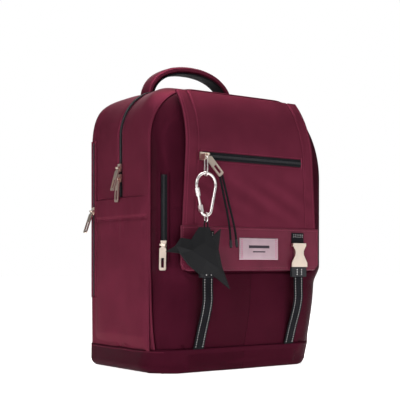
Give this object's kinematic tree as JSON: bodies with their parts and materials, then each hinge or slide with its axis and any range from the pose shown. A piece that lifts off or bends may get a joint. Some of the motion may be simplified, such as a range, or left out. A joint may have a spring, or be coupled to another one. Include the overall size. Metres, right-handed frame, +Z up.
{
  "type": "travel backpack",
  "caption": "Box-shaped travel backpack with a buckled front flap, two-way zips, side pockets, padded straps, trolley sleeve and a clip-on bird charm.",
  "frame": {"origin": "on the floor plane and the bag's middle plane, under the main compartment, 95 mm in front of the back face", "axes": "+Z up, +X to the bag's right as seen from its front, +Y towards the wearer's back panel, so the flap faces -Y"},
  "size_m": [0.3332, 0.3043, 0.488],
  "materials": {
    "upper_nylon": "satin twill, burgundy",
    "lower_nylon": "satin twill, dark burgundy",
    "lining": "plain weave lining",
    "foam": "closed-cell foam",
    "board": "stiff board",
    "mesh": "spacer mesh",
    "webbing": "ribbed black webbing",
    "zip_tape": "woven zip tape",
    "zip_coil": "nylon coil",
    "leather": "grained burgundy leatherette",
    "champagne_metal": "champagne-plated, polished",
    "steel": "plated wire",
    "label_metal": "mauve metallic patch",
    "black_plastic": "moulded acetal",
    "cord": "round braided cord",
    "charm_leather": "matte black leather"
  },
  "bodies": {
    "bag": {"main_front_shell": "upper_nylon", "rear_shell": "upper_nylon", "front_compartment": "lower_nylon", "base_panel": "lower_nylon", "base_board": "board", "back_foam": "foam", "laptop_divider": "lining", "back_pad": "mesh", "trolley_sleeve": "lower_nylon", "strap_yoke": "webbing", "handle_grip": "upper_nylon", "handle_underside": "webbing", "main_zip_tape": "zip_tape", "main_zip_coil": "zip_coil", "laptop_zip_tape": "zip_tape", "laptop_zip_coil": "zip_coil", "front_zip_tape": "zip_tape", "front_zip_coil": "zip_coil", "right_side_pocket": "lower_nylon", "left_side_pocket": "lower_nylon", "right_shoulder_strap": "mesh", "left_shoulder_strap": "mesh", "right_strap_webbing": "webbing", "left_strap_webbing": "webbing", "right_ladder_lock": "black_plastic", "left_ladder_lock": "black_plastic", "right_corner_tab": "webbing", "left_corner_tab": "webbing", "right_lower_web": "webbing", "left_lower_web": "webbing"},
    "flap": {"flap_panel": "upper_nylon", "leather_band": "leather", "label_patch": "label_metal", "flap_zip_tape": "zip_tape", "flap_zip_coil": "zip_coil", "left_upper_web": "webbing", "right_upper_web": "webbing", "left_buckle_cover": "champagne_metal", "right_buckle_cover": "champagne_metal"},
    "main_upper_slider": {"main_upper_slider": "champagne_metal"},
    "main_upper_pull": {"main_upper_pull": "champagne_metal"},
    "main_lower_slider": {"main_lower_slider": "champagne_metal"},
    "main_lower_pull": {"main_lower_pull": "champagne_metal"},
    "laptop_slider": {"laptop_slider": "champagne_metal"},
    "laptop_pull": {"laptop_pull": "champagne_metal"},
    "front_slider": {"front_slider": "champagne_metal"},
    "front_pull": {"front_pull": "champagne_metal"},
    "flap_slider": {"flap_slider": "champagne_metal"},
    "flap_pull": {"flap_pull": "champagne_metal", "inner_pull_cord": "cord", "outer_pull_cord": "cord"},
    "hang_ring": {"hang_ring": "steel"},
    "carabiner": {"carabiner_body": "steel", "gate_pin": "steel"},
    "carabiner_gate": {"carabiner_gate": "steel"},
    "gate_sleeve": {"gate_sleeve": "steel"},
    "charm_ring": {"charm_ring": "steel"},
    "charm": {"bird_charm": "charm_leather"},
    "left_prong": {"left_buckle_prong": "black_plastic"},
    "right_prong": {"right_buckle_prong": "black_plastic"}
  },
  "joints": [
    {"name": "flap_lift", "type": "hinge", "parent": "bag", "child": "flap", "pos_m": [0, -0.09679, 0.42], "axis": [-1, 0, 0], "range_deg": [0, 120]},
    {"name": "main_upper_zip", "type": "slide", "parent": "bag", "child": "main_upper_slider", "axis": [0, 0, 1], "range_m": [0, 0.038]},
    {"name": "main_upper_pull_lift", "type": "hinge", "parent": "main_upper_slider", "child": "main_upper_pull", "pos_m": [-0.1608, -0.004, 0.31], "axis": [0, 1, 0], "range_deg": [0, 120]},
    {"name": "main_lower_zip", "type": "slide", "parent": "bag", "child": "main_lower_slider", "axis": [0, 0, 1], "range_m": [-0.01, 0]},
    {"name": "main_lower_pull_lift", "type": "hinge", "parent": "main_lower_slider", "child": "main_lower_pull", "pos_m": [-0.1608, -0.004, 0.294], "axis": [0, 1, 0], "range_deg": [0, 12]},
    {"name": "laptop_zip", "type": "slide", "parent": "bag", "child": "laptop_slider", "axis": [0, 0, 1], "range_m": [-0.128, 0.101]},
    {"name": "laptop_pull_lift", "type": "hinge", "parent": "laptop_slider", "child": "laptop_pull", "pos_m": [-0.1608, 0.077, 0.247], "axis": [0, 1, 0], "range_deg": [0, 110]},
    {"name": "front_zip", "type": "slide", "parent": "bag", "child": "front_slider", "axis": [0, 0, 1], "range_m": [-0.015, 0.093]},
    {"name": "front_pull_lift", "type": "hinge", "parent": "front_slider", "child": "front_pull", "pos_m": [-0.15487, -0.12081, 0.19], "axis": [-0.5736, 0.8192, 0], "range_deg": [0, 110]},
    {"name": "flap_zip", "type": "slide", "parent": "flap", "child": "flap_slider", "axis": [1, 0, 0], "range_m": [0, 0.182]},
    {"name": "flap_pull_lift", "type": "hinge", "parent": "flap_slider", "child": "flap_pull", "pos_m": [-0.091, -0.1405, 0.321], "axis": [-0.7547, 0, -0.6561], "range_deg": [0, 80]},
    {"name": "ring_tilt", "type": "hinge", "parent": "flap_slider", "child": "hang_ring", "pos_m": [-0.0985, -0.14835, 0.316], "axis": [-1, 0, 0], "range_deg": [0, 65]},
    {"name": "carabiner_swing", "type": "hinge", "parent": "hang_ring", "child": "carabiner", "pos_m": [-0.0985, -0.14835, 0.29425], "axis": [0, 1, 0], "range_deg": [-35, 35]},
    {"name": "gate_open", "type": "hinge", "parent": "carabiner", "child": "carabiner_gate", "pos_m": [-0.10817, -0.14835, 0.24343], "axis": [0, 1, 0], "range_deg": [0, 24], "stiffness_Nm_per_rad": 0.05, "springref_deg": -20.05},
    {"name": "sleeve_unscrew", "type": "slide", "parent": "carabiner_gate", "child": "gate_sleeve", "axis": [0.2241, 0, -0.9746], "range_m": [0, 0.0115]},
    {"name": "charm_ring_tilt", "type": "hinge", "parent": "carabiner", "child": "charm_ring", "pos_m": [-0.0985, -0.14835, 0.23255], "axis": [-1, 0, 0], "range_deg": [0, 60]},
    {"name": "charm_swing", "type": "hinge", "parent": "charm_ring", "child": "charm", "pos_m": [-0.0985, -0.14835, 0.2234], "axis": [0, 1, 0], "range_deg": [-40, 40]},
    {"name": "left_buckle_release", "type": "slide", "parent": "bag", "child": "left_prong", "axis": [0, 0, -1], "range_m": [0, 0.027], "deforming": ["left_lower_web"]},
    {"name": "right_buckle_release", "type": "slide", "parent": "bag", "child": "right_prong", "axis": [0, 0, -1], "range_m": [0, 0.027], "deforming": ["right_lower_web"]}
  ]
}
